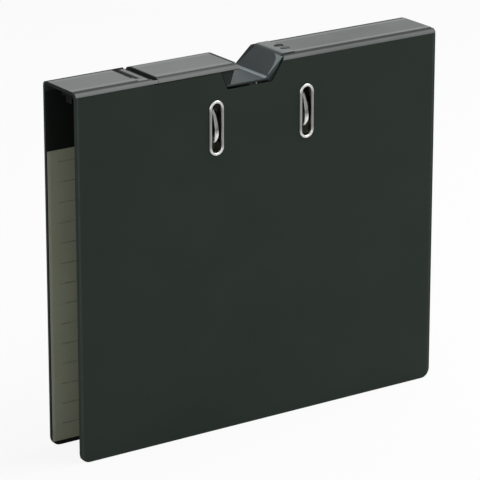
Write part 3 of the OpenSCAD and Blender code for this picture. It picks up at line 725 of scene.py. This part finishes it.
crease_runs = {"left": (cover_low.x, strip_high.x), "right": (recess_right, cover_high.x)}
for side, node, body in ((-1, "front_crease", "front_cover"), (1, "back_crease", "back_cover")):
    for word, (start, end) in crease_runs.items():
        piece = new_piece(f"{node}_cloth_{word}", crease_cloth(side, start, end), cloth)
        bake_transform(piece)
        if word == "left":
            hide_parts(node)

# %% [markdown]
# ## The flap's hinge
# The flap in the spine lifts by its free end. At its other end a black cloth lies in the open slit like a
# gutter, glued to the board on one side and to the flap on the other. It is a folded strip again, with a few
# corners more in its floor.

# %% Flap hinge cloth
hinge_z = flap_low.z + 1.62 * MM
hinge_half = spine_high.y - 0.3 * MM
wall_gap, lip_drop, lining_cloth_t = 0.15 * MM, 0.4 * MM, 0.1 * MM
gutter = [
    (strip_high.x + wall_gap, strip_high.z - hair),
    (strip_high.x + wall_gap, hinge_z),
    *((strip_high.x + share * (flap_low.x - strip_high.x), hinge_z) for share in (0.25, 0.5, 0.75)),
    (flap_low.x - wall_gap, hinge_z),
    (flap_low.x - wall_gap, flap_high.z - lip_drop),
]
hinge_strip = folded_strip([(x, -hinge_half, z) for x, z in gutter], (0, 2 * hinge_half, 0), lining_cloth_t)
# The hinge cloth's near black is painted shade in the slit.
hinge_cloth = new_piece("flap_hinge_cloth", hinge_strip, paper)
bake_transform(hinge_cloth)

# %% [markdown]
# ## The seam beside the flap's hinge
# The open seam between the hinge's strip and the left spine board would show the inside of the file, so it
# is lined with the same black cloth, as painted shade. The lining is a trench of three folds, and it never
# moves.

# %% Seam cloth
seam_left, seam_right = strip_low.x + wall_gap, strip_low.x + seam_width - wall_gap
trench = [
    (seam_left, spine_high.z - lip_drop), (seam_left, hinge_z),
    (seam_right, hinge_z), (seam_right, strip_high.z - hair),
]
# The seam's near-black lining is painted shade.
seam_strip = folded_strip(
    [(x, seam_start + wall_gap, z) for x, z in trench], (0, seam_length - 2 * wall_gap, 0), lining_cloth_t,
)
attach(new_piece("seam_cloth", seam_strip, paper), "spine")

# %% [markdown]
# ## The flap's binding
# The flap's free end, where fingers lift it, has a dark binding. A dark band in the cloth's finish would do
# from above, but the binding is folded round the board's end, so it is a strip of its own.

# %% Flap binding
bind_half, bind_lap, bind_t, glue = spine_high.y - 0.9 * MM, 1.8 * MM, 0.15 * MM, 0.02 * MM
past_end = flap_high.x + glue
bound = [
    (past_end - bind_lap, flap_high.z + glue), (past_end, flap_high.z + glue),
    (past_end, spine_low.z - glue), (past_end - bind_lap, spine_low.z - glue),
]
bind_strip = folded_strip([(x, -bind_half, z) for x, z in bound], (0, 2 * bind_half, 0), -bind_t)
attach(new_piece("flap_binding", bind_strip, paper), "grip_flap")

# %% [markdown]
# ## Paper that closes the step under the flap
# Beside the flap each cover's board stops lower, so that the flap and the swinging cover pass each other.
# On the closed file the covering paper stands on past the board, up to the flap's rolled edge. It is a thin
# bar, a cube stretched between two corners and cut at the recess, and it goes with its cover.

# %% Soft edges under the flap
soft_t, soft_sink, soft_lap = 0.35 * MM, 0.03 * MM, 0.5 * MM
soft_low, soft_high = cover_high.z - 0.95 * MM, flap_low.z - 2 * hair
recess_left, recess_left_lean = -38 * MM, 8 / 18


def bar(low, high, radius=0.0):
    bm = bmesh.new()
    low, high = Vector(low), Vector(high)
    bmesh.ops.create_cube(bm, size=1)
    bmesh.ops.scale(bm, verts=bm.verts, vec=high - low)
    bmesh.ops.translate(bm, verts=bm.verts, vec=(low + high) / 2)
    if radius:
        round_off(bm, bm.edges[:], radius)
    return bm


for side, body in ((-1, "front_cover"), (1, "back_cover")):
    face = side * (outer_face - soft_sink)
    near, far = sorted((face, face - side * soft_t))
    bm = bar((strip_high.x - soft_lap, near, soft_low), (recess_left + past_recess, far, soft_high))
    cut_at_recess(bm, recess_left, 1, recess_left_lean)
    piece = new_piece(f"{body}_soft_edge", bm, paper)
    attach(piece, body)
    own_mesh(piece)

# %% [markdown]
# ## The trough's fillet
# A fillet runs along the corner where the trough's floor meets its slope, with a painted highlight. Rounding
# the trough's own corner would give the shape but not the highlight, so the fillet is a thin strip folded
# along an arc, with a pale finish of its own.

# %% Trough fillet
slope, slope_x = math.radians(42), 4.5 * MM
trough_half = 20.7 * MM
fillet_radius, fillet_steps = 4 * MM, 8
fillet_lift, fillet_t = 0.06 * MM, 0.03 * MM


def trough_fillet():
    foot = slope_x - fillet_radius * math.tan(slope / 2)
    middle_z = floor_top + fillet_lift + fillet_radius
    turns = [slope * number / fillet_steps for number in range(fillet_steps + 1)]
    arc = [(foot + fillet_radius * math.sin(t), middle_z - fillet_radius * math.cos(t)) for t in turns]
    return folded_strip([(x, -trough_half, z) for x, z in arc], (0, 2 * trough_half, 0), fillet_t)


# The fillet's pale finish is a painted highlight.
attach(new_piece("trough_fillet", trough_fillet(), pale_glossy_plastic), "spine")

# %% [markdown]
# ## Shoulders of the slope
# A shoulder widens up each side of the trough's slope, with a painted highlight in front and painted shade
# at the back. Its outline is given in millimetres up the slope and out from the middle. Its corners could be
# placed on the slope at once, but a flat outline is easier to read, so it is drawn flat, extruded and
# rounded, and only then turned onto the slope.

# %% Slope shoulders
shoulder_sink, shoulder_t, shoulder_round = 0.1 * MM, 0.4 * MM, 0.18 * MM
shoulder_outline = {
    "front": [(3, 20.5), (20.4, 20.5), (20.4, 9.5), (18.8, 13.2), (16, 16), (11, 18.3), (3, 19.7)],
    "back": [(3, 20.5), (20.4, 20.5), (20.4, 16.6), (3, 19.7)],
}


def extruded(corners, run):
    bm = bmesh.new()
    face = bm.faces.new([bm.verts.new(corner) for corner in corners])
    drawn = bmesh.ops.extrude_face_region(bm, geom=[face])["geom"]
    moved = [part for part in drawn if isinstance(part, bmesh.types.BMVert)]
    bmesh.ops.translate(bm, verts=moved, vec=run)
    bmesh.ops.recalc_face_normals(bm, faces=bm.faces)
    return bm


def slope_shoulder(side, outline):
    corners = [(up * MM, side * out * MM, -shoulder_sink) for up, out in outline]
    bm = extruded(corners, (0, 0, shoulder_t))
    round_off(bm, bm.edges[:], shoulder_round)
    bmesh.ops.rotate(bm, verts=bm.verts, cent=(0, 0, 0), matrix=Matrix.Rotation(-slope, 3, "Y"))
    bmesh.ops.translate(bm, verts=bm.verts, vec=(slope_x, 0, floor_top))
    return bm


# Painted highlight on the front shoulder, painted shade on the back one.
for side, word, finish in ((-1, "front", pale_glossy_plastic), (1, "back", painted_shade_plastic)):
    shoulder = slope_shoulder(side, shoulder_outline[word])
    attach(new_piece(f"slope_shoulder_{word}", shoulder, finish), "spine")

# %% [markdown]
# ## Ribs, webs and cheeks of the trough
# Below the trough's floor the real moulding is stiffened. On both sides of the file a black rib below the
# floor and the slope closes the view inside and stands for the shade there, a web stands under the slope,
# and a cheek closes the trough's end under the flap. The webs and cheeks are painted almost black as shade.
# They have no simple shape, so each is an outline seen from the front, in millimetres along the spine and
# up, extruded to a plate between two distances from the middle.

# %% Trough ribs, webs and cheeks
rib_outline = [(-29.5, 263.7), (4.5, 263.7), (5.7, 264.16), (16.85, 274.2), (18.5, 262.7), (-29.5, 262.7)]
web_outline = [(5.2, 263.9), (5.7, 264.16), (16.2, 273.6), (9.45, 263.55), (8.6, 262.75), (7.4, 262.5)]
cheek_outline = [(-30.0, 263.9), (-35.3, 275.6), (-23.6, 275.6), (-27.4, 264.3)]
rib_depth, web_depth = (18.8, 19.2), (20.3, 20.9)
# The black ribs and the almost black webs and cheeks are painted shade under the trough.
trough_plates = {
    "trough_rib": (rib_outline, rib_depth, paint),
    "trough_web": (web_outline, web_depth, painted_shade_plastic),
    "trough_cheek": (cheek_outline, web_depth, painted_shade_plastic),
}


def plate(outline, near, far):
    corners = [(x * MM, near * MM, z * MM) for x, z in outline]
    return extruded(corners, (0, (far - near) * MM, 0))


for side, word in ((-1, "front"), (1, "back")):
    for name, (outline, (near, far), finish) in trough_plates.items():
        piece = new_piece(f"{name}_{word}", plate(outline, side * near, side * far), finish)
        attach(piece, "spine")

# %% [markdown]
# ## Gate stub
# Where the plastic ran into the mould, the stub of the gate is left below the trough's floor. It was snapped
# off by hand and has no exact shape, so a small bar with rounded edges will do.

# %% Gate stub
stub_low, stub_high = Vector((-4.5, -20.8, 262.4)) * MM, Vector((-3.3, -19.8, 263.9)) * MM
stub_round = 0.2 * MM
stub = bar(stub_low, stub_high, stub_round)
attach(new_piece("gate_stub", stub, pale_glossy_plastic), "spine")

# %% [markdown]
# ## Snap heads
# Two oval heads cover the snaps at the end of the trough's flange, the front one worn grey. A squashed
# sphere would be too round, because the real heads are flat on top, so a head is a low cone with its tip cut
# off, stretched to an oval.

# %% Snap heads
head_size, head_up, head_shift = Vector((4.2, 2.6, 1.3)) * MM, 0.6 * MM, 1.8 * MM
back_head_in = 2 * MM
clip_low, clip_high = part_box("trough_clips")
head_x = (clip_low.x + clip_high.x) / 2 + head_shift


def snap_head(x, y):
    bm = bmesh.new()
    bmesh.ops.create_cone(bm, cap_ends=True, cap_tris=False, segments=40, radius1=1, radius2=0.9, depth=1)
    bmesh.ops.scale(bm, verts=bm.verts, vec=head_size)
    bmesh.ops.translate(bm, verts=bm.verts, vec=(x, y, spine_high.z + head_up))
    return bm


heads = {"front": (clip_low.y, worn_plastic), "back": (clip_high.y - back_head_in, paint)}
for word, (y, finish) in heads.items():
    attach(new_piece(f"snap_head_{word}", snap_head(head_x, y), finish), "spine")

# %% [markdown]
# ## Ridges on the lever's cap
# A finger slides off a smooth cap, so real ones have ridges across the end. A bump in the finish would stay
# flat from the side, so each ridge is a short bar with all its edges rounded, set square to the slanting
# lever.

# %% Cap ridges
pivot = Vector((0, 8.0, 250.5)) * MM
lever_turn = Matrix.Rotation(math.radians(-28), 3, "X")
cap_face, ridge_round = 4.5 * MM, 0.4 * MM
ridge_half = Vector((6.5, 0.45, 0.55)) * MM
ridge_places = (35, 37.6, 40.2, 42.8)
for number, along in enumerate(ridge_places):
    middle = Vector((0, -cap_face, -along * MM))
    bm = bar(middle - ridge_half, middle + ridge_half, ridge_round)
    bmesh.ops.rotate(bm, verts=bm.verts, cent=(0, 0, 0), matrix=lever_turn)
    bmesh.ops.translate(bm, verts=bm.verts, vec=pivot)
    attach(new_piece(f"cap_ridge_{number}", bm, black_plastic), "lever")

# %% [markdown]
# ## Floor
# A catalogue picture has a white sweep. A curved backdrop could give that, but a large flat floor is enough
# for this view. It is pale, and most of what the camera sees of it is a plain white glow, so the sweep stays
# even while a faint shadow still grounds the file.

# %% Floor
floor_half, glow_share = 6, 0.9


def pale_floor():
    bm = bmesh.new()
    bmesh.ops.create_grid(bm, x_segments=2, y_segments=2, size=floor_half)
    bmesh.ops.translate(bm, verts=bm.verts, vec=(0, 0, cad_box[0].z))
    floor = bpy.data.objects.new("floor", as_mesh("floor", bm))
    finish = Finish("floor_white", Roughness=0.9, Specular_IOR_Level=0.1, Base_Color=grey(0.85))
    seen = finish.add("ShaderNodeLightPath", {}, {}, "Is Camera Ray")
    glow = finish.add("ShaderNodeEmission", {}, {"Color": grey(1), "Strength": 1.0})
    surface = Signal(finish, finish.shader.outputs[0])
    shown = finish.add("ShaderNodeMixShader", {}, {0: seen * glow_share, 1: surface, 2: glow})
    finish.feed(finish.tree.nodes["Material Output"].inputs["Surface"], shown)
    floor.data.materials.append(finish.finished().material)
    scene.collection.objects.link(floor)
    return floor


pale_floor()

# %% [markdown]
# ## World
# The world is the light from all around. A world that is white to the eye would also light the file too
# brightly, so Light Path nodes split it: it is white to the camera and in reflections, and gives only a
# plain grey fill to the surfaces themselves.

# %% World
fill_strength, white_strength = 0.3, 1.0
scene.view_settings.view_transform = "Standard"
scene.world = bpy.data.worlds.new("studio")
scene.world.use_nodes = True
sky = Nodes(scene.world.node_tree)
sky.tree.nodes.remove(sky.tree.nodes["Background"])
camera_ray, glossy_ray, transmission_ray = (
    sky.add("ShaderNodeLightPath", {}, {}, f"Is {kind} Ray") for kind in ("Camera", "Glossy", "Transmission")
)
fill, white = (
    sky.add("ShaderNodeBackground", {}, {"Color": grey(1), "Strength": strength})
    for strength in (fill_strength, white_strength)
)
shown = camera_ray.most(glossy_ray).most(transmission_ray)
chosen = sky.add("ShaderNodeMixShader", {}, {0: shown, 1: fill, 2: white})
sky.feed(sky.tree.nodes["World Output"].inputs["Surface"], chosen)
print("world with", len(sky.tree.nodes), "nodes and a fill of", fill_strength)

# %% [markdown]
# ## Lamps
# One large soft lamp hangs high at the right and a little in front. It brightens the spine and leaves the
# trough's slope, which faces left, in half shade. A weaker lamp at the left keeps the open end readable.

# %% Lamps
file_middle = (0, 0, 0.15)


def soft_lamp(name, place, target, size, power):
    lamp = bpy.data.lights.new(name, "AREA")
    lamp.shape = "RECTANGLE"
    lamp.size, lamp.size_y = size
    lamp.energy = power
    holder = bpy.data.objects.new(name, lamp)
    holder.location = place
    holder.rotation_euler = (Vector(target) - Vector(place)).to_track_quat("-Z", "Y").to_euler()
    scene.collection.objects.link(holder)
    print(name, "with", power, "W")


soft_lamp("key_softbox", (0.85, -0.3, 1.4), file_middle, (1.3, 1.1), 24)
soft_lamp("left_fill", (-1.6, -0.8, 0.6), file_middle, (1.0, 1.0), 4)

# %% [markdown]
# ## Camera
# The picture was taken from the left, a little above the spine, through a long lens. Its direction, its
# distance and its lens come from a fit of the file's edges to the picture.

# %% Camera
azimuth, elevation, distance = math.radians(-34.36), math.radians(18.52), 2.4236
aim = Vector((-0.004274, 0, 0.13675))
lens_pixels, frame_pixels = 3253, 480
back = Vector((
    math.sin(azimuth) * math.cos(elevation),
    -math.cos(azimuth) * math.cos(elevation),
    math.sin(elevation),
))
camera = bpy.data.objects.new("camera", bpy.data.cameras.new("camera"))
camera.data.sensor_width = 36
camera.data.lens = camera.data.sensor_width * lens_pixels / frame_pixels
camera.data.clip_end = 50
camera.location = aim + back * distance
camera.rotation_euler = (-back).to_track_quat("-Z", "Y").to_euler()
scene.collection.objects.link(camera)
scene.camera = camera
print("lens", round(camera.data.lens), "mm from", round(distance, 2), "m")

# %% [markdown]
# ## Sizes
# The box around everything that is shown should stay close to the frame's own box.
